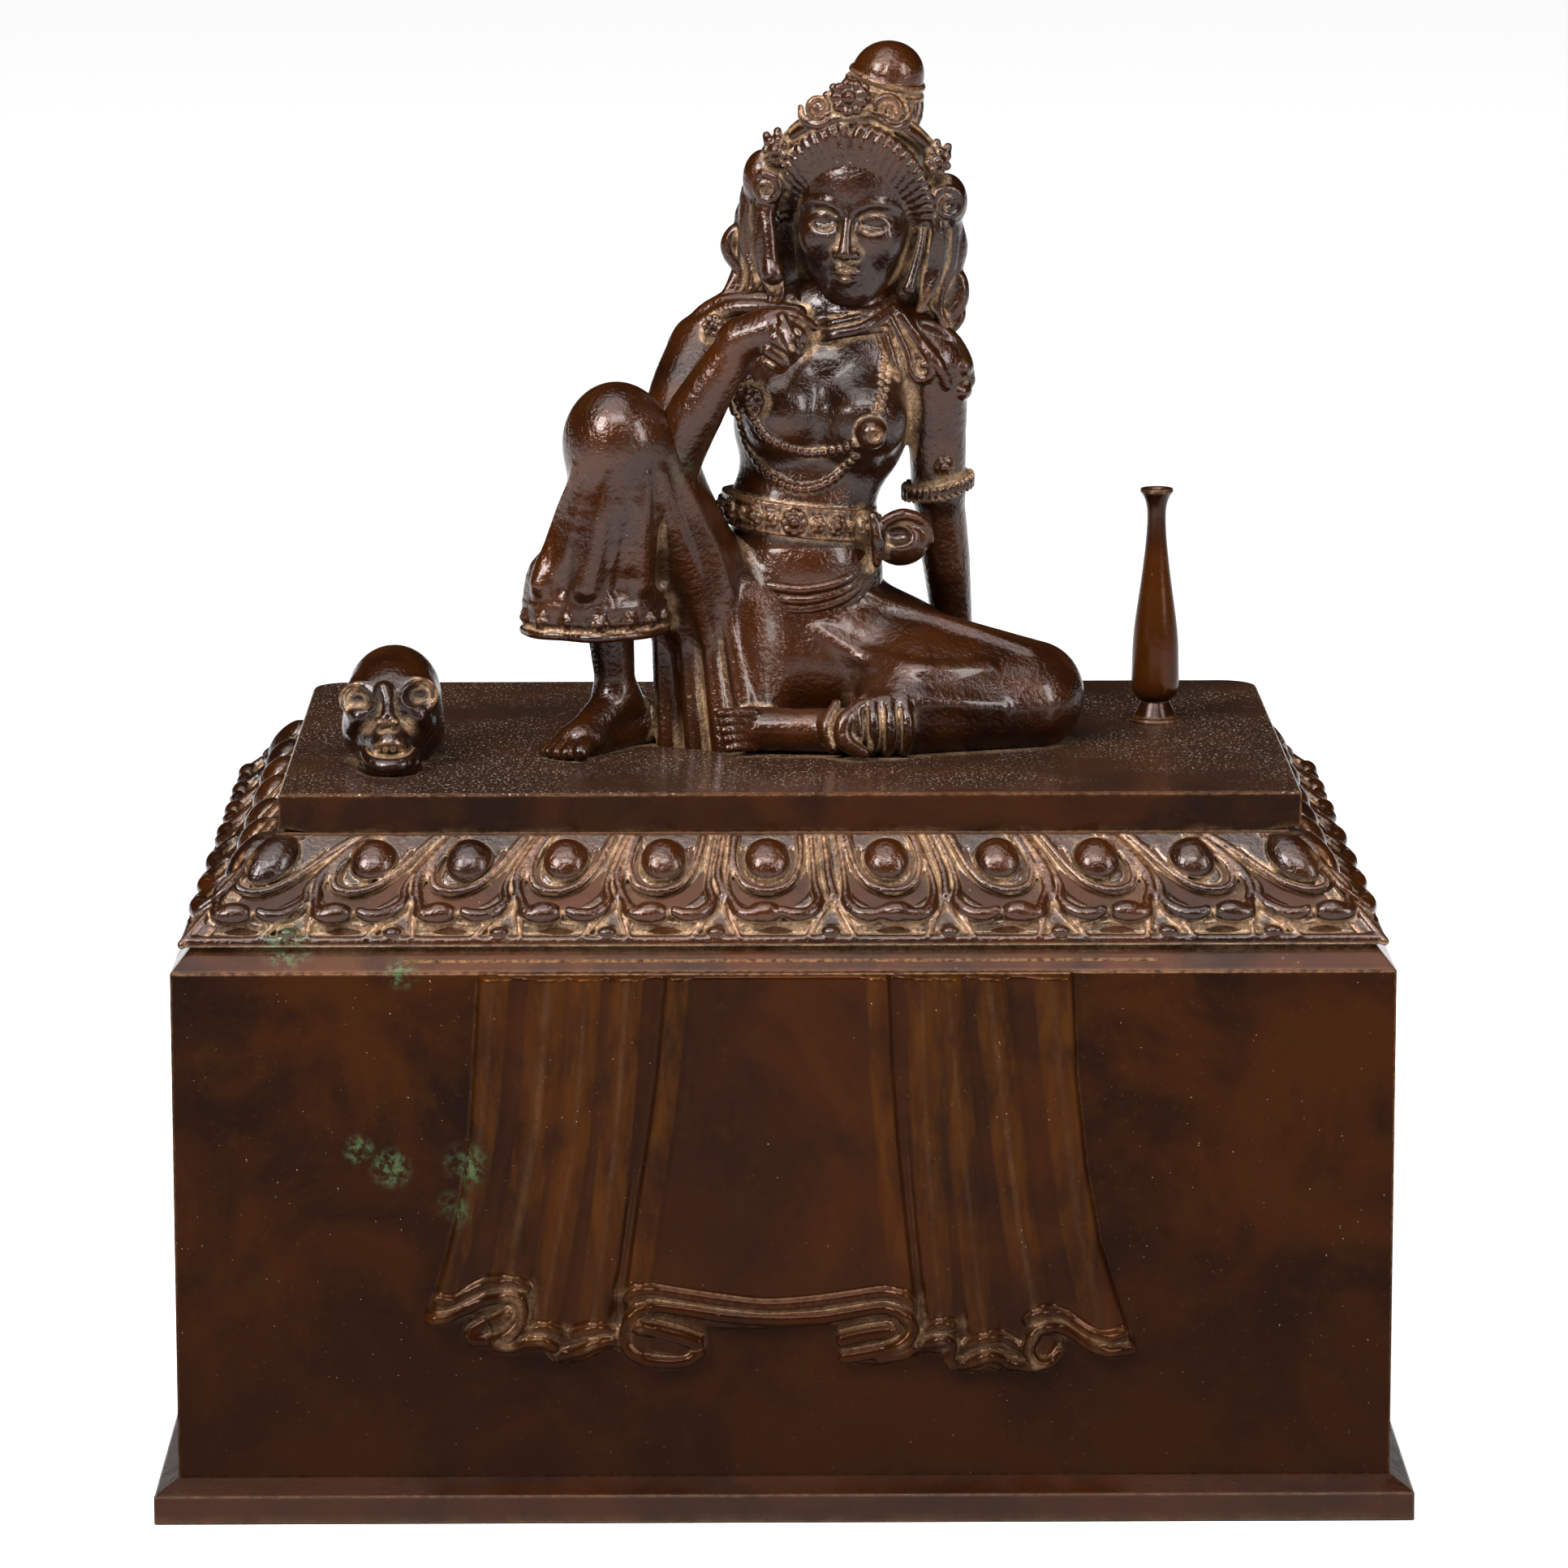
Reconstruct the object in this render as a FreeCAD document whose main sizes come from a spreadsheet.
import FreeCAD, Part
import Sketcher
import os
from FreeCAD import Placement, Rotation, Vector

# A bronze inkwell in the shape of a draped rectangular altar. The case is a foot, four cast walls
# and a lotus shoulder. It holds a lift-out brass tray with a pen trough and two glass ink cups.
# The lid is a thin slab, hinged along its back edge, that carries a seated figure, a skull and a
# small vase. Millimetres, +Z up, +X to the right and -Y to the front of the object. The origin is
# at the centre of the foot, on the surface that the object stands on.

DIMENSIONS = {
    # foot and walls
    "foot_width": 200.0,
    "foot_depth": 142.0,
    "foot_rise": 6.6,
    "foot_bevel_inset": 3.7,
    "foot_bevel_drop": 2.2,
    "foot_opening_width": 168.0,
    "foot_opening_depth": 110.0,
    "wall_width": 192.6,
    "wall_depth": 134.6,
    "wall_top": 88.4,
    "wall_thickness": 4.0,
    "drape_relief": 0.6,
    "drape_top_half": 45.0,
    "drape_bottom_half": 48.0,
    "drape_bottom": 40.0,
    # bottom closure
    "baize_thickness": 1.0,
    "plate_thickness": 3.0,
    "plate_width": 185.6,
    "plate_depth": 127.6,
    # lotus shoulder
    "ledge_top": 92.2,
    "ledge_inset": 3.2,
    "lip_top": 95.6,
    "lip_inset": 4.6,
    "shoulder_top": 107.8,
    "shoulder_inset": 16.0,
    "mouth_width": 138.0,
    "mouth_depth": 82.0,
    "tray_seat": 96.0,
    "throat_width": 128.0,
    "throat_depth": 72.0,
    "core_top": 99.0,
    "core_width": 168.0,
    "core_depth": 110.0,
    "rim_width": 146.0,
    "rim_depth": 90.0,
    # tray and ink cups
    "tray_gap": 0.5,
    "tray_sheet": 1.2,
    "trough_length": 100.0,
    "trough_width": 18.0,
    "trough_drop": 8.0,
    "trough_centre": 25.0,
    "cup_spacing": 60.0,
    "cup_centre": 10.0,
    "cup_radius": 20.0,
    "cup_bore_radius": 17.0,
    "cup_flange_radius": 23.0,
    "cup_flange": 2.5,
    "cup_depth": 45.0,
    # lid slab
    "slab_width": 162.2,
    "slab_depth": 104.0,
    "slab_thickness": 6.4,
    "slab_shift": 1.2,
    "slab_undercut": 0.8,
    "slab_back_radius": 6.0,
    "slab_edge_ease": 0.3,
    "lip_ring_width": 135.0,
    "lip_ring_depth": 79.0,
    "lip_ring_wall": 2.0,
    "lip_ring_drop": 2.6,
    # hinges
    "hinge_spacing": 90.0,
    "hinge_axis_back": 54.2,
    "knuckle_radius": 2.3,
    "knuckle_length": 6.0,
    "knuckle_gap": 0.15,
    "swing_clearance": 0.25,
    "pin_radius": 0.9,
    "pin_clearance": 0.05,
    "leaf_thickness": 1.2,
    "leaf_reach": 12.2,
    "stop_reach": 5.3,
    "stop_height": 1.6,
    # fasteners
    "screw_radius": 1.0,
    "screw_head_radius": 1.9,
    "screw_head_rise": 0.9,
    "tie_radius": 2.0,
    "tie_head_radius": 4.0,
    "tie_head_rise": 2.0,
    "tie_half_width": 77.0,
    "tie_half_depth": 50.0,
    "stud_radius": 2.0,
    "stud_bottom": 102.6,
    "stud_top": 126.0,
    "nut_radius": 4.0,
    "nut_height": 3.2,
    "washer_radius": 5.0,
    "washer_height": 0.8,
    # vase
    "vase_across": 62.8,
    "vase_back": 12.5,
    "vase_flange_radius": 4.6,
    "vase_flange_height": 0.8,
    "vase_cone_radius": 3.6,
    "vase_neck_radius": 2.35,
    "vase_foot_height": 3.4,
    "vase_height": 35.8,
    "vase_bore_radius": 1.0,
    "vase_bore_depth": 22.0,
}

SHEET = "Dimensions"
doc = FreeCAD.newDocument("inkwell")
sub_parts = []


def size(alias):
    """The value of a driving dimension, for the few shapes that are set in code."""
    return float(doc.getObject(SHEET).get(alias))


def sheet_names(expression):
    """An expression written with bare aliases, made to refer to the sheet."""
    words = []
    for word in expression.split():
        words.append(SHEET + "." + word if word in DIMENSIONS else word)
    return " ".join(words)


def drive(thing, prop, expression):
    thing.setExpression(prop, sheet_names(str(expression)))


def name_part(thing, label):
    thing.Label = label
    sub_parts.append(thing)
    return thing


def make_sheet():
    sheet = doc.addObject("Spreadsheet::Sheet", SHEET)
    for row, (alias, value) in enumerate(DIMENSIONS.items(), start=1):
        sheet.set("A%d" % row, alias)
        sheet.set("B%d" % row, str(value))
        sheet.setAlias("B%d" % row, alias)
    doc.recompute()


# ---- Part primitives -------------------------------------------------------------------------

def place(thing, where):
    for letter, expression in zip("xyz", where):
        drive(thing, "Placement.Base." + letter, expression)


def block(label, width, depth, height, middle):
    """A box that is centred in X and Y on `middle`, whose z is the box's underside."""
    thing = doc.addObject("Part::Box", label)
    drive(thing, "Length", width)
    drive(thing, "Width", depth)
    drive(thing, "Height", height)
    x, y, z = middle
    place(thing, ("( %s ) - ( %s ) / 2" % (x, width), "( %s ) - ( %s ) / 2" % (y, depth), z))
    return thing


def rod(label, radius, height, base):
    thing = doc.addObject("Part::Cylinder", label)
    drive(thing, "Radius", radius)
    drive(thing, "Height", height)
    place(thing, base)
    return thing


def cross_rod(label, radius, length, start):
    """A cylinder that lies along +X."""
    thing = rod(label, radius, length, start)
    thing.Placement = Placement(thing.Placement.Base, Rotation(Vector(0, 1, 0), 90))
    place(thing, start)
    return thing


def cone(label, bottom_radius, top_radius, height, base):
    thing = doc.addObject("Part::Cone", label)
    drive(thing, "Radius1", bottom_radius)
    drive(thing, "Radius2", top_radius)
    drive(thing, "Height", height)
    place(thing, base)
    return thing


def hexagon(label, radius, height, base):
    thing = doc.addObject("Part::Prism", label)
    thing.Polygon = 6
    drive(thing, "Circumradius", radius)
    drive(thing, "Height", height)
    place(thing, base)
    return thing


def join(label, shapes):
    thing = doc.addObject("Part::MultiFuse", label)
    thing.Shapes = shapes
    return thing


def gather(label, shapes):
    """Several separate solids in one object."""
    thing = doc.addObject("Part::Compound", label)
    thing.Links = shapes
    return thing


def carve(label, base, tools):
    """The base with the tools cut away."""
    tool = tools[0] if len(tools) == 1 else join(label + "_tools", tools)
    thing = doc.addObject("Part::Cut", label)
    thing.Base = base
    thing.Tool = tool
    return thing


# ---- PartDesign bodies -----------------------------------------------------------------------

def new_body(label):
    return doc.addObject("PartDesign::Body", label + "_body")


def sketch_on(body, name, role, offset="0"):
    """An empty sketch on one of the body's origin planes, moved along the plane's normal."""
    plane = next(feature for feature in body.Origin.OriginFeatures if feature.Role == role)
    sketch = body.newObject("Sketcher::SketchObject", name)
    sketch.AttachmentSupport = [(plane, "")]
    sketch.MapMode = "FlatFace"
    drive(sketch, ".AttachmentOffset.Base.z", offset)
    return sketch


def add_polygon(sketch, corners):
    """A closed outline. Each corner is a pair of expressions, measured from the sketch origin."""
    first = sketch.GeometryCount
    count = len(corners)
    ring = [Vector(10 + step, 10 + (step * step) % 7 + step / 3.0, 0) for step in range(count)]
    for step in range(count):
        sketch.addGeometry(Part.LineSegment(ring[step], ring[(step + 1) % count]), False)
    for step in range(count):
        following = first + (step + 1) % count
        sketch.addConstraint(Sketcher.Constraint("Coincident", first + step, 2, following, 1))
    for step, corner in enumerate(corners):
        for kind, expression in zip(("DistanceX", "DistanceY"), corner):
            start = getattr(ring[step], kind[-1].lower())
            entry = Sketcher.Constraint(kind, -1, 1, first + step, 1, start)
            index = sketch.addConstraint(entry)
            drive(sketch, "Constraints[%d]" % index, expression)


def add_rectangle(sketch, width, depth, shift="0"):
    """A rectangle about the sketch's origin, moved by `shift` along the sketch's x."""
    half_w = "( %s ) / 2" % width
    half_d = "( %s ) / 2" % depth
    left = "( %s ) - %s" % (shift, half_w)
    right = "( %s ) + %s" % (shift, half_w)
    low = "0 - %s" % half_d
    add_polygon(sketch, [(left, low), (right, low), (right, half_d), (left, half_d)])


def pad(body, name, sketch, length):
    feature = body.newObject("PartDesign::Pad", name)
    feature.Profile = sketch
    drive(feature, "Length", length)
    return feature


def pocket_up(body, name, sketch, length):
    """A pocket cut from the sketch towards +Z."""
    feature = body.newObject("PartDesign::Pocket", name)
    feature.Profile = sketch
    feature.Reversed = True
    drive(feature, "Length", length)
    return feature


def layered_loft(body, name, layers):
    """A ruled loft through rectangles. Each layer is (width, depth, height, shift)."""
    sketches = []
    for number, (width, depth, height, shift) in enumerate(layers):
        sketch = sketch_on(body, "%s_%d" % (name, number), "XY_Plane", height)
        add_rectangle(sketch, width, depth, shift)
        sketches.append(sketch)
    feature = body.newObject("PartDesign::AdditiveLoft", name)
    feature.Profile = sketches[0]
    feature.Sections = sketches[1:]
    feature.Ruled = True
    return feature


def turned(label, profile, base):
    """A turned piece. The profile's corners are (radius, height) above the base point."""
    body = new_body(label)
    sketch = sketch_on(body, label + "_profile", "XZ_Plane")
    add_polygon(sketch, profile)
    feature = body.newObject("PartDesign::Revolution", label + "_turn")
    feature.Profile = sketch
    feature.ReferenceAxis = (sketch, ["V_Axis"])
    feature.Angle = 360
    place(body, base)
    return body


# ---- fasteners -------------------------------------------------------------------------------

def screw(label, x, y, seat, length, head, radius="screw_radius", rise="screw_head_rise",
          upwards=True):
    """A countersunk screw. `seat` is the height of its head's flat face."""
    if upwards:
        top = cone(label + "_head", head, radius, rise, (x, y, seat))
        shank = rod(label + "_shank", radius, length, (x, y, seat))
    else:
        top = cone(label + "_head", radius, head, rise, (x, y, "%s - %s" % (seat, rise)))
        shank = rod(label + "_shank", radius, length, (x, y, "%s - ( %s )" % (seat, length)))
    return join(label, [top, shank])


BASE_SCREW_PLACES = (("88.5", "0"), ("-88.5", "0"), ("0", "59.5"), ("0", "-59.5"))


def base_screws(prefix):
    return [screw("%s_%d" % (prefix, n), x, y, "baize_thickness", "plate_thickness + 2.2",
                  "screw_head_radius") for n, (x, y) in enumerate(BASE_SCREW_PLACES)]


def tie_screws(prefix):
    """The four long screws that draw the base plate, walls and shoulder together."""
    group = []
    for n, (sx, sy) in enumerate(((1, 1), (1, -1), (-1, 1), (-1, -1))):
        x = "%d * tie_half_width" % sx
        y = "%d * tie_half_depth" % sy
        group.append(screw("%s_%d" % (prefix, n), x, y, "baize_thickness",
                           "core_top + 4 - baize_thickness", "tie_head_radius",
                           "tie_radius", "tie_head_rise"))
    return group


def hinge_centre(side):
    return "%d * hinge_spacing / 2" % side


def leaf_screws(prefix, upwards, sides=(-1, 1)):
    """Three screws in each leaf, for both hinges or for one side's."""
    group = []
    for side in sides:
        for step in (-1, 0, 1):
            label = "%s_%s_%d" % (prefix, "left" if side < 0 else "right", step + 1)
            x = "%s + %d" % (hinge_centre(side), 10 * step)
            length = "4.6" if upwards else "6"
            group.append(screw(label, x, "hinge_axis_back - 7.6", "shoulder_top", length,
                               "screw_head_radius", upwards=upwards))
    return group


# ---- the case --------------------------------------------------------------------------------

def foot_frame():
    """The bevelled foot, open in the middle, rebated underneath for the base plate."""
    body = new_body("foot_frame")
    bevel_start = "foot_rise - foot_bevel_drop"
    layered_loft(body, "foot_loft", [
        ("foot_width", "foot_depth", "0", "0"), ("foot_width", "foot_depth", bevel_start, "0"),
        ("foot_width - 2 * foot_bevel_inset", "foot_depth - 2 * foot_bevel_inset", "foot_rise", "0")])
    doc.recompute()
    rebate = sketch_on(body, "foot_rebate", "XY_Plane")
    add_rectangle(rebate, "plate_width + 0.2", "plate_depth + 0.2")
    pocket_up(body, "foot_rebate_cut", rebate, "baize_thickness + plate_thickness")
    opening = sketch_on(body, "foot_opening", "XY_Plane")
    add_rectangle(opening, "foot_opening_width", "foot_opening_depth")
    pocket_up(body, "foot_opening_cut", opening, "foot_rise + 1")
    name_part(carve("foot_frame_drilled", body, base_screws("foot_hole")), "foot_frame")


def is_upright(edge):
    span = edge.BoundBox
    return span.ZLength > 1 and span.XLength < 0.1 and span.YLength < 0.1


def edges_where(feature, test):
    """Names of the feature's edges that pass the test."""
    found = []
    for number, edge in enumerate(feature.Shape.Edges, start=1):
        if test(edge):
            found.append("Edge%d" % number)
    return found


def edges_at_height(feature, height):
    tolerance = 1e-4
    return edges_where(feature, lambda edge: edge.BoundBox.ZMin > height - tolerance
                       and edge.BoundBox.ZMax < height + tolerance)


def fillet(body, name, feature, edges, radius):
    round_off = body.newObject("PartDesign::Fillet", name)
    round_off.Base = (feature, edges)
    drive(round_off, "Radius", radius)
    return round_off


def chamfer(body, name, feature, edges, inset, drop):
    """A chamfer that takes `inset` off the level face and `drop` off the upright one."""
    bevel = body.newObject("PartDesign::Chamfer", name)
    bevel.Base = (feature, edges)
    bevel.ChamferType = "Two distances"
    drive(bevel, "Size", inset)
    drive(bevel, "Size2", drop)
    return bevel


def case_walls():
    """Four cast walls in one ring, with a low pad on the front that carries the drapery."""
    body = new_body("case_walls")
    ring = sketch_on(body, "wall_outline", "XY_Plane", "foot_rise")
    add_rectangle(ring, "wall_width", "wall_depth")
    add_rectangle(ring, "wall_width - 2 * wall_thickness", "wall_depth - 2 * wall_thickness")
    pad(body, "wall_pad", ring, "wall_top - foot_rise")
    drape = sketch_on(body, "drape_outline", "XZ_Plane", "wall_depth / 2 - 0.5")
    add_polygon(drape, [("-1 * drape_bottom_half", "drape_bottom"),
                        ("drape_bottom_half", "drape_bottom"),
                        ("drape_top_half", "wall_top"), ("-1 * drape_top_half", "wall_top")])
    pad(body, "drape_pad", drape, "drape_relief + 0.5")
    name_part(body, "case_walls")


def shoulder_layer(inset, height):
    width = "wall_width - 2 * ( %s )" % inset
    depth = "wall_depth - 2 * ( %s )" % inset
    return (width, depth, height, "0")


def hinge_pockets():
    """Seats for the leaves in the shoulder's rim, and room for the knuckles behind it."""
    tools = []
    for side, word in ((-1, "left"), (1, "right")):
        middle = hinge_centre(side)
        tools.append(block("leaf_seat_" + word, "5 * knuckle_length", "leaf_reach", "leaf_thickness + 1",
                           (middle, "hinge_axis_back - leaf_reach / 2", "shoulder_top - leaf_thickness")))
        tools.append(block("knuckle_room_" + word, "5 * knuckle_length + 0.6", "12", "6",
                           (middle, "hinge_axis_back + 6 - knuckle_radius - 0.4",
                            "shoulder_top - knuckle_radius - 0.4")))
    return tools


def lotus_shoulder():
    """The sloping shoulder, cored from below, with a mouth that steps in to seat the tray."""
    body = new_body("lotus_shoulder")
    layered_loft(body, "shoulder_loft", [
        shoulder_layer("0", "wall_top"), shoulder_layer("ledge_inset", "ledge_top"),
        shoulder_layer("lip_inset", "lip_top"), shoulder_layer("shoulder_inset", "shoulder_top")])
    doc.recompute()
    mouth = sketch_on(body, "mouth_outline", "XY_Plane", "tray_seat")
    add_rectangle(mouth, "mouth_width", "mouth_depth")
    pocket_up(body, "mouth_cut", mouth, "shoulder_top - tray_seat + 1")
    throat = sketch_on(body, "throat_outline", "XY_Plane", "wall_top")
    add_rectangle(throat, "throat_width", "throat_depth")
    pocket_up(body, "throat_cut", throat, "tray_seat - wall_top")
    core = sketch_on(body, "core_outline", "XY_Plane", "wall_top")
    add_rectangle(core, "core_width", "core_depth")
    add_rectangle(core, "rim_width", "rim_depth")
    pocket_up(body, "core_cut", core, "core_top - wall_top")
    tools = hinge_pockets() + leaf_screws("rim_hole", False) + tie_screws("shoulder_hole")
    name_part(carve("shoulder_finished", body, tools), "lotus_shoulder")


def base_plate():
    plate = block("plate_blank", "plate_width", "plate_depth", "plate_thickness",
                  ("0", "0", "baize_thickness"))
    tools = base_screws("plate_hole") + tie_screws("plate_tie_hole")
    name_part(carve("plate_drilled", plate, tools), "base_plate")
    name_part(gather("plate_screws", base_screws("base_screw")), "base_plate_screws")
    name_part(gather("tie_screw_set", tie_screws("tie_screw")), "tie_screws")


def baize_pad():
    """A sheet of green cloth glued under the plate, level with the foot."""
    name_part(block("baize", "plate_width", "plate_depth", "baize_thickness", ("0", "0", "0")),
              "baize_pad")


def trough_shell(label):
    """The outside of the pen trough."""
    return block(label, "trough_length", "trough_width", "trough_drop + tray_sheet",
                 ("0", "-1 * trough_centre", "tray_seat - trough_drop"))


def liner_tray():
    """A brass sheet with two round holes for the cups, and a pen trough let in at the front."""
    sheet = block("tray_sheet_blank", "mouth_width - 2 * tray_gap", "mouth_depth - 2 * tray_gap",
                  "tray_sheet", ("0", "0", "tray_seat"))
    holes = [rod("cup_hole_%d" % side, "cup_radius + 0.4", "6",
                 ("%d * cup_spacing / 2" % side, "cup_centre", "tray_seat - 2")) for side in (-1, 1)]
    name_part(carve("tray_cut", sheet, holes + [trough_shell("trough_slot")]), "liner_tray")
    hollow = block("trough_hollow", "trough_length - 2 * tray_sheet", "trough_width - 2 * tray_sheet",
                   "trough_drop + 4",
                   ("0", "-1 * trough_centre", "tray_seat - trough_drop + tray_sheet"))
    name_part(carve("trough_cut", trough_shell("trough_blank"), [hollow]), "pen_trough")


def ink_cups():
    """Two thick glass cups that hang in the tray by their flanges."""
    for side, label in ((-1, "ink_cup_left"), (1, "ink_cup_right")):
        top = "cup_depth + cup_flange"
        profile = [("0", "0"), ("cup_radius - 2", "0"), ("cup_radius", "2"),
                   ("cup_radius", "cup_depth"), ("cup_flange_radius", "cup_depth"),
                   ("cup_flange_radius", top + " - 0.6"), ("cup_flange_radius - 0.6", top),
                   ("cup_bore_radius", top), ("cup_bore_radius", "7"),
                   ("cup_bore_radius - 3", "4"), ("0", "4")]
        base = ("%d * cup_spacing / 2" % side, "cup_centre", "tray_seat + tray_sheet - cup_depth")
        name_part(turned(label, profile, base), label)


# ---- the hinges ------------------------------------------------------------------------------

def knuckles(label, side, steps, bore):
    """Barrel pieces of one leaf, at the given steps of the five along the pin."""
    pieces = []
    for step in steps:
        start = "%s + %s * knuckle_length + knuckle_gap / 2" % (hinge_centre(side), step - 2.5)
        pieces.append(cross_rod("%s_barrel_%d" % (label, step), "knuckle_radius",
                                "knuckle_length - knuckle_gap",
                                (start, "hinge_axis_back", "shoulder_top")))
    start = "%s - 3 * knuckle_length" % hinge_centre(side)
    hole = cross_rod(label + "_bore", bore, "6 * knuckle_length",
                     (start, "hinge_axis_back", "shoulder_top"))
    return pieces, hole


def swing_room(label, side, steps):
    """Clearance for the other leaf's knuckles."""
    tools = []
    for step in steps:
        start = "%s + %s * knuckle_length - knuckle_gap / 2" % (hinge_centre(side), step - 2.5)
        tools.append(cross_rod("%s_room_%d" % (label, step), "knuckle_radius + swing_clearance",
                               "knuckle_length + knuckle_gap",
                               (start, "hinge_axis_back", "shoulder_top")))
    return tools


def leaf(label, side, underside, own_steps, other_steps, bore, upwards, extras):
    """One hinge leaf: a flat plate, its knuckles and its countersunk holes."""
    plate = block(label + "_plate", "5 * knuckle_length", "leaf_reach", "leaf_thickness",
                  (hinge_centre(side), "hinge_axis_back - leaf_reach / 2", underside))
    room = swing_room(label, side, other_steps)
    trimmed = carve(label + "_trimmed", plate, room)
    barrels, hole = knuckles(label, side, own_steps, bore)
    whole = join(label + "_whole", [trimmed] + barrels + extras)
    holes = leaf_screws(label + "_hole", upwards, (side,))
    name_part(carve(label + "_bored", whole, [hole] + holes), label)


def hinges():
    """Two butt hinges. The middle case knuckle has a heel that stops the open lid."""
    for side, word in ((-1, "left"), (1, "right")):
        heel = block("stop_heel_" + word, "knuckle_length - knuckle_gap", "stop_reach",
                     "stop_height + knuckle_radius / 2",
                     (hinge_centre(side), "hinge_axis_back + stop_reach / 2",
                      "shoulder_top - knuckle_radius / 2"))
        leaf("case_hinge_leaf_" + word, side, "shoulder_top - leaf_thickness", (0, 2, 4), (1, 3),
             "pin_radius", False, [heel])
        leaf("lid_hinge_leaf_" + word, side, "shoulder_top", (1, 3), (0, 2, 4),
             "pin_radius + pin_clearance", True, [])
        start = "%s - 2.5 * knuckle_length - 0.3" % hinge_centre(side)
        pin = cross_rod("pin_" + word, "pin_radius", "5 * knuckle_length + 0.6",
                        (start, "hinge_axis_back", "shoulder_top"))
        name_part(pin, "hinge_pin_" + word)
    name_part(gather("case_leaf_screws", leaf_screws("case_leaf_screw", False)), "case_hinge_screws")
    name_part(gather("lid_leaf_screws", leaf_screws("lid_leaf_screw", True)), "lid_hinge_screws")


# ---- the lid ---------------------------------------------------------------------------------

SLAB_TOP = "shoulder_top + slab_thickness"
FIGURE_STUDS = (("8", "4"), ("34", "-8"))
SKULL_MIDDLE = ("-63.2", "-20")


def stud_group(prefix, radius):
    group = []
    for number, (x, y) in enumerate(FIGURE_STUDS):
        group.append(rod("%s_%d" % (prefix, number), radius, "stud_top - stud_bottom",
                         (x, y, "stud_bottom")))
    return group


def skull_screw(label):
    return screw(label, SKULL_MIDDLE[0] + " + 1.6", SKULL_MIDDLE[1], "shoulder_top",
                 "slab_thickness + 6", "screw_head_radius")


def vase_screw(label):
    return screw(label, "vase_across", "vase_back", "shoulder_top",
                 "slab_thickness + vase_foot_height + 4", "screw_head_radius")


def lid_slab():
    """The flat lid with slightly undercut edges and a low ring below that enters the mouth."""
    body = new_body("lid_slab")
    outline = sketch_on(body, "slab_outline", "XY_Plane", "shoulder_top")
    add_rectangle(outline, "slab_width", "slab_depth", "slab_shift")
    slab = pad(body, "slab_pad", outline, "slab_thickness")
    doc.recompute()
    back = edges_where(slab, lambda edge: is_upright(edge) and edge.BoundBox.YMin > 0)
    rounded = fillet(body, "slab_back_corners", slab, back, "slab_back_radius")
    doc.recompute()
    top = edges_at_height(rounded, size("shoulder_top") + size("slab_thickness"))
    eased = chamfer(body, "slab_top_edge", rounded, top, "slab_edge_ease", "slab_edge_ease")
    doc.recompute()
    under = edges_at_height(eased, size("shoulder_top"))
    chamfer(body, "slab_undercut_edge", eased, under, "slab_undercut", "slab_thickness - 1")
    doc.recompute()
    ring = sketch_on(body, "ring_outline", "XY_Plane", "shoulder_top - lip_ring_drop")
    add_rectangle(ring, "lip_ring_width", "lip_ring_depth")
    add_rectangle(ring, "lip_ring_width - 2 * lip_ring_wall", "lip_ring_depth - 2 * lip_ring_wall")
    pad(body, "ring_pad", ring, "lip_ring_drop + 1")
    tools = []
    for side, word in ((-1, "left"), (1, "right")):
        tools.append(block("slab_seat_" + word, "5 * knuckle_length + 0.1", "leaf_reach + 4",
                           "leaf_thickness + 1", (hinge_centre(side),
                           "hinge_axis_back - leaf_reach / 2 + 2", "shoulder_top - 1")))
    tools += leaf_screws("slab_hole", True)
    tools += stud_group("slab_stud_hole", "stud_radius + 0.2")
    tools += [skull_screw("slab_skull_hole"), vase_screw("slab_vase_hole")]
    name_part(carve("slab_finished", body, tools), "lid_slab")


def ball(label, middle, radii):
    """An ellipsoid with radii along X, Y and Z."""
    thing = doc.addObject("Part::Ellipsoid", label)
    thing.Radius2 = radii[0]
    thing.Radius3 = radii[1]
    thing.Radius1 = radii[2]
    thing.Angle1 = -90
    thing.Placement = Placement(Vector(*middle), Rotation())
    return thing


def limb(label, start, end, start_radius, end_radius):
    """A tapered limb with round ends."""
    path = Vector(*end) - Vector(*start)
    bone = doc.addObject("Part::Cone", label)
    bone.Radius1 = start_radius
    bone.Radius2 = end_radius
    bone.Height = path.Length
    bone.Placement = Placement(Vector(*start), Rotation(Vector(0, 0, 1), path))
    near = ball(label + "_near", start, [start_radius * 1.003] * 3)
    far = ball(label + "_far", end, [end_radius * 1.003] * 3)
    return [bone, near, far]


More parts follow.
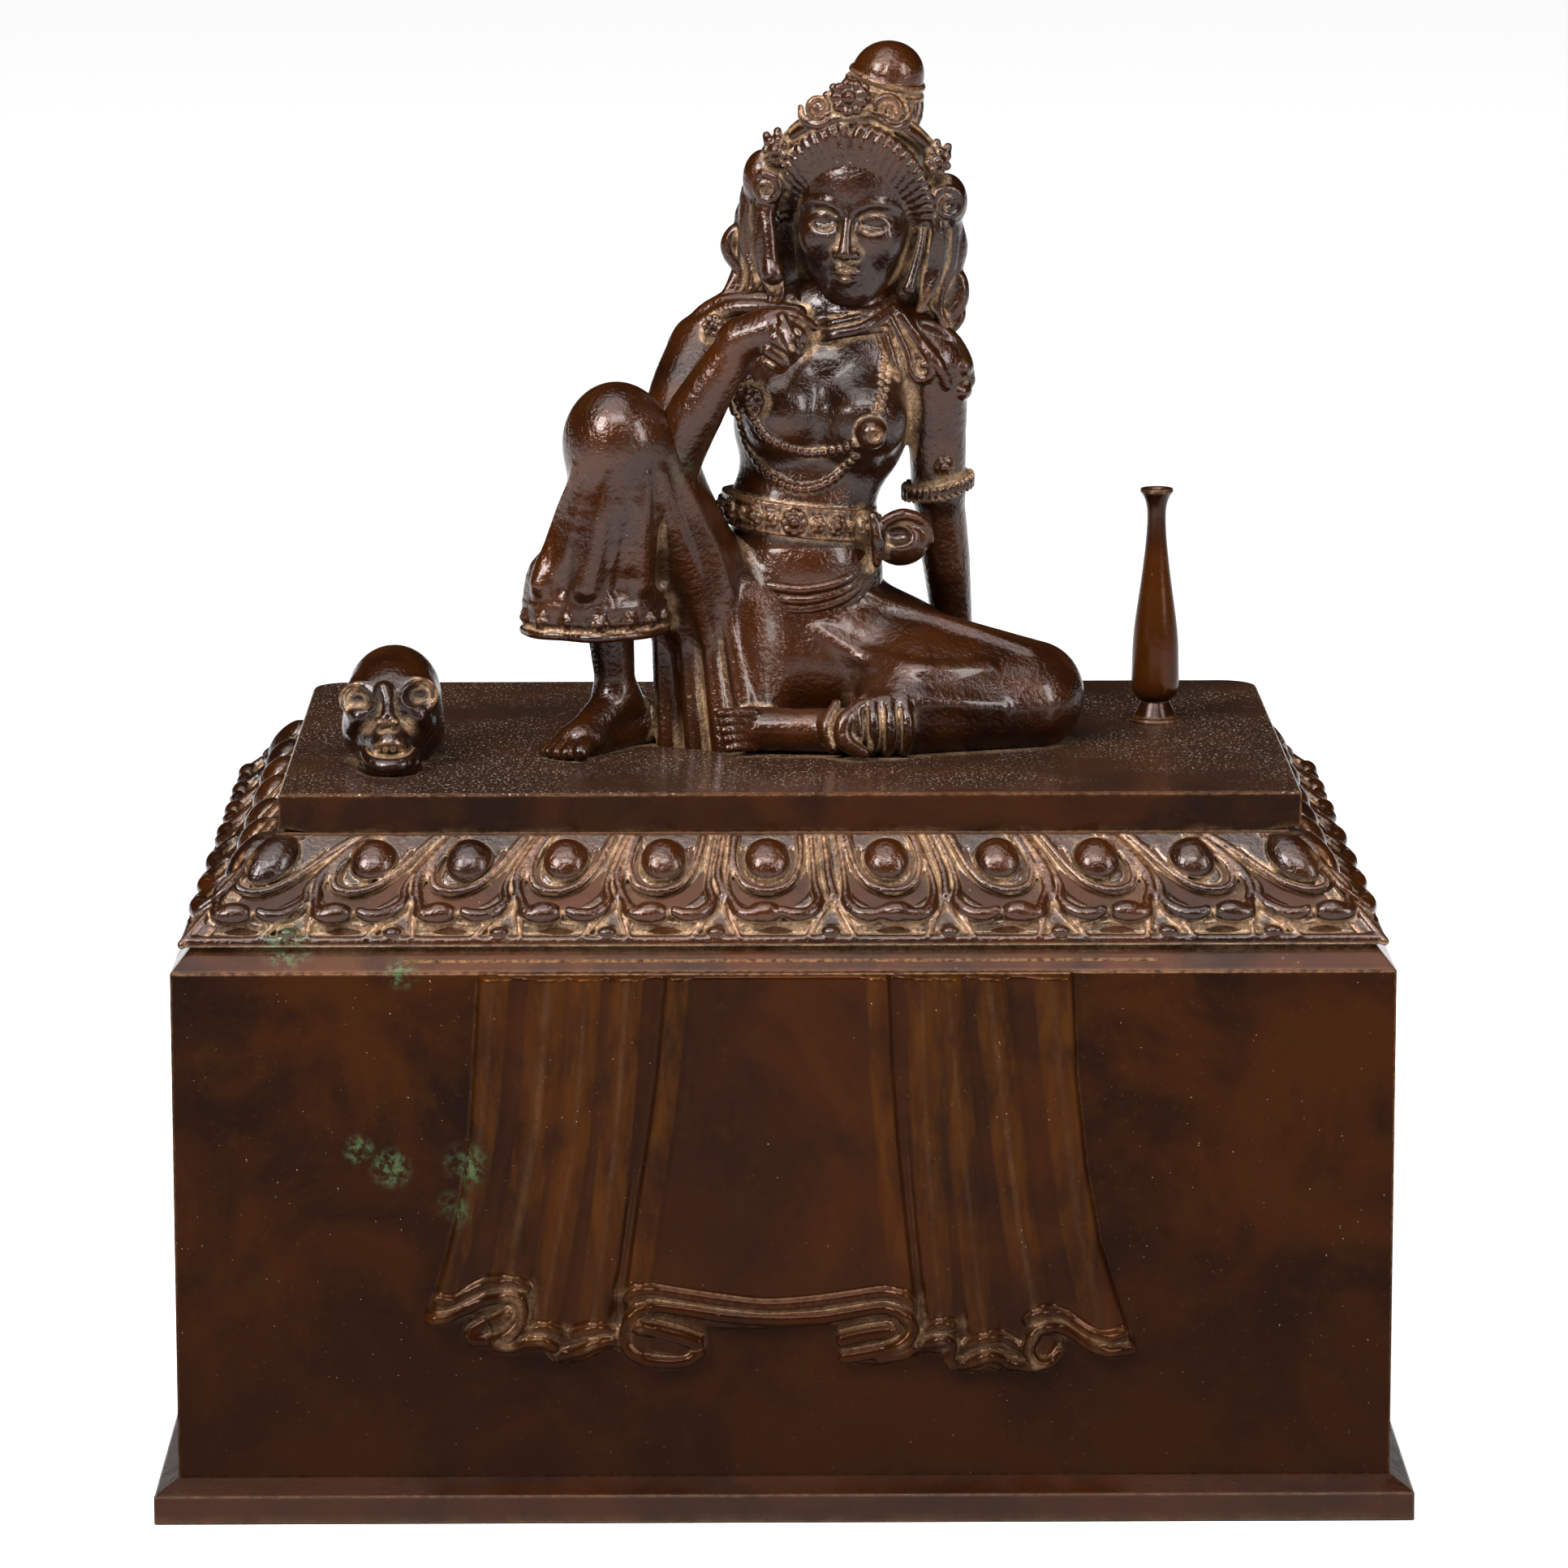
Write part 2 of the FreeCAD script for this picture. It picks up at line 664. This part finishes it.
def seated_figure():
    """The seated figure as one casting: one knee raised, the other leg folded flat."""
    masses = [
        ball("hips", (4.0, 3.0, 129.0), (19.0, 14.5, 18.0)),
        ball("waist", (4.2, 0.6, 151.0), (14.2, 10.2, 15.0)),
        ball("chest", (8.0, 0.2, 169.0), (17.6, 10.8, 14.6)),
        ball("head", (12.6, -0.6, 200.0), (11.2, 11.6, 14.6)),
        ball("hair", (13.0, 4.6, 200.4), (15.6, 9.6, 15.2)),
        ball("diadem", (14.6, 0.2, 211.4), (11.6, 9.4, 6.6)),
        ball("left_toes", (-31.4, -13.6, 116.6), (5.2, 8.4, 3.2)),
        ball("right_toes", (-5.4, -19.6, 118.0), (6.0, 3.6, 4.6)),
        ball("right_hand", (29.6, 15.0, 117.0), (4.4, 6.2, 3.4)),
    ]
    limbs = [
        ("topknot", (15.4, 1.0, 211.0), (17.6, 1.0, 222.85), 6.6, 6.3),
        ("neck", (10.4, 0.6, 177.0), (11.8, 0.4, 189.0), 7.0, 5.6),
        ("left_upper_arm", (-9.4, 1.4, 177.0), (-14.4, -12.0, 162.6), 6.0, 5.0),
        ("left_forearm", (-14.5, -12.1, 162.7), (-8.4, -17.0, 179.0), 4.6, 3.6),
        ("left_hand", (-8.6, -17.1, 179.2), (1.2, -17.4, 184.4), 4.2, 2.4),
        ("right_upper_arm", (26.4, 1.2, 174.2), (28.4, 7.2, 152.4), 6.2, 5.0),
        ("right_forearm", (28.5, 7.3, 152.2), (28.7, 14.0, 119.0), 4.6, 3.4),
        ("left_thigh", (-3.0, 1.0, 130.4), (-26.4, -19.0, 165.4), 13.0, 9.2),
        ("left_trouser", (-26.5, -19.1, 165.2), (-30.4, -12.0, 138.6), 9.0, 11.2),
        ("left_ankle", (-27.6, -9.0, 138.0), (-25.4, -4.6, 119.0), 5.0, 3.9),
        ("left_foot", (-25.3, -3.0, 117.6), (-31.0, -12.6, 116.8), 3.6, 3.4),
        ("right_thigh", (13.0, 0.6, 127.6), (42.6, -5.4, 122.4), 12.8, 8.6),
        ("right_shin", (42.4, -5.6, 122.6), (14.4, -19.0, 119.0), 8.2, 4.9),
        ("right_foot", (14.6, -19.1, 119.1), (-4.6, -19.5, 118.2), 4.7, 3.9),
    ]
    for label, start, end, start_radius, end_radius in limbs:
        masses += limb(label, start, end, start_radius, end_radius)
    body = join("figure_masses", masses)
    floor = block("figure_floor", "150", "110", "40", ("0", "0", SLAB_TOP + " - 40"))
    tools = [floor] + stud_group("figure_stud_hole", "stud_radius")
    name_part(carve("figure_cast", body, tools), "seated_figure")


def figure_fixings():
    """Two studs through the slab, each with a washer and a nut below it."""
    name_part(gather("stud_set", stud_group("stud", "stud_radius")), "figure_studs")
    washers = []
    nuts = []
    for number, (x, y) in enumerate(FIGURE_STUDS):
        washer = rod("washer_blank_%d" % number, "washer_radius", "washer_height",
                     (x, y, "shoulder_top - washer_height"))
        washer_hole = rod("washer_hole_%d" % number, "stud_radius + 0.2", "6",
                          (x, y, "shoulder_top - 3"))
        washers.append(carve("washer_%d" % number, washer, [washer_hole]))
        nut = hexagon("nut_blank_%d" % number, "nut_radius", "nut_height",
                      (x, y, "shoulder_top - washer_height - nut_height"))
        nut_hole = rod("nut_hole_%d" % number, "stud_radius", "12", (x, y, "shoulder_top - 9"))
        nuts.append(carve("nut_%d" % number, nut, [nut_hole]))
    name_part(gather("washer_set", washers), "figure_washers")
    name_part(gather("nut_set", nuts), "figure_nuts")


def skull():
    """A small skull that lies on the slab and faces the front."""
    x, y = float(SKULL_MIDDLE[0]), float(SKULL_MIDDLE[1])
    masses = [
        ball("cranium", (x, y + 3.0, 123.4), (8.6, 12.0, 9.3)),
        ball("cheeks", (x + 0.2, y - 4.0, 120.6), (9.3, 7.6, 5.6)),
        ball("jaw", (x + 0.8, y - 9.6, 118.4), (4.6, 7.4, 5.2)),
    ]
    floor = block("skull_floor", "60", "60", "30", (str(x), str(y), SLAB_TOP + " - 30"))
    cast = carve("skull_cast", join("skull_masses", masses), [floor, skull_screw("skull_hole")])
    name_part(cast, "skull")
    name_part(skull_screw("skull_fixing"), "skull_screw")


def vase():
    """A slim vase on a separate foot, both held by one screw from below the slab."""
    foot_profile = [("0", "0"), ("vase_flange_radius", "0"),
                    ("vase_flange_radius", "vase_flange_height * 0.6"),
                    ("vase_flange_radius - 0.4", "vase_flange_height"),
                    ("vase_cone_radius", "vase_flange_height"),
                    ("vase_neck_radius", "vase_foot_height"), ("0", "vase_foot_height")]
    foot = turned("vase_foot_blank", foot_profile, ("vase_across", "vase_back", SLAB_TOP))
    name_part(carve("vase_foot_bored", foot, [vase_screw("vase_foot_hole")]), "vase_foot")

    neck = size("vase_neck_radius")
    tall = size("vase_height")
    bore = size("vase_bore_radius")
    lip = (2.8, tall - 0.5)
    stations = [(neck, 0.0), (3.45, 0.9), (3.98, 4.2), (3.8, 10.3), (2.88, 17.8), (1.85, 26.0),
                (1.55, 30.4), (1.9, 33.7), lip]
    flank = Part.BSplineCurve()
    flank.interpolate([Vector(radius, 0, height) for radius, height in stations])
    corners = [Vector(lip[0], 0, lip[1]), Vector(2.65, 0, tall), Vector(1.5, 0, tall),
               Vector(bore, 0, tall - 1.4), Vector(bore, 0, tall - size("vase_bore_depth")),
               Vector(0, 0, tall - size("vase_bore_depth") - 0.6), Vector(0, 0, 0), Vector(neck, 0, 0)]
    edges = [flank.toShape()]
    edges += [Part.makeLine(start, end) for start, end in zip(corners, corners[1:])]
    solid = Part.Face(Part.Wire(edges)).revolve(Vector(), Vector(0, 0, 1), 360)
    body = doc.addObject("Part::Feature", "vase_turned")
    body.Shape = solid
    place(body, ("vase_across", "vase_back", SLAB_TOP + " + vase_foot_height"))
    name_part(carve("vase_drilled", body, [vase_screw("vase_hole")]), "vase_body")
    name_part(vase_screw("vase_fixing"), "vase_screw")


def build():
    make_sheet()
    foot_frame()
    case_walls()
    lotus_shoulder()
    base_plate()
    baize_pad()
    liner_tray()
    ink_cups()
    hinges()
    lid_slab()
    seated_figure()
    figure_fixings()
    skull()
    vase()
    doc.recompute()


def check():
    for thing in doc.Objects:
        if "Invalid" in thing.State or "Error" in thing.State:
            raise RuntimeError("%s failed: %s" % (thing.Label, thing.State))
    for thing in sub_parts:
        if thing.Shape.isNull() or not thing.Shape.isValid() or thing.Shape.Volume <= 0:
            raise RuntimeError("%s has no valid solid" % thing.Label)


def export():
    os.makedirs("parts", exist_ok=True)
    for thing in sub_parts:
        thing.Shape.exportStep("parts/" + thing.Label + ".step")
        print("%-24s %2d solids %10.1f mm3" % (thing.Label, len(thing.Shape.Solids), thing.Shape.Volume))


build()
check()
export()
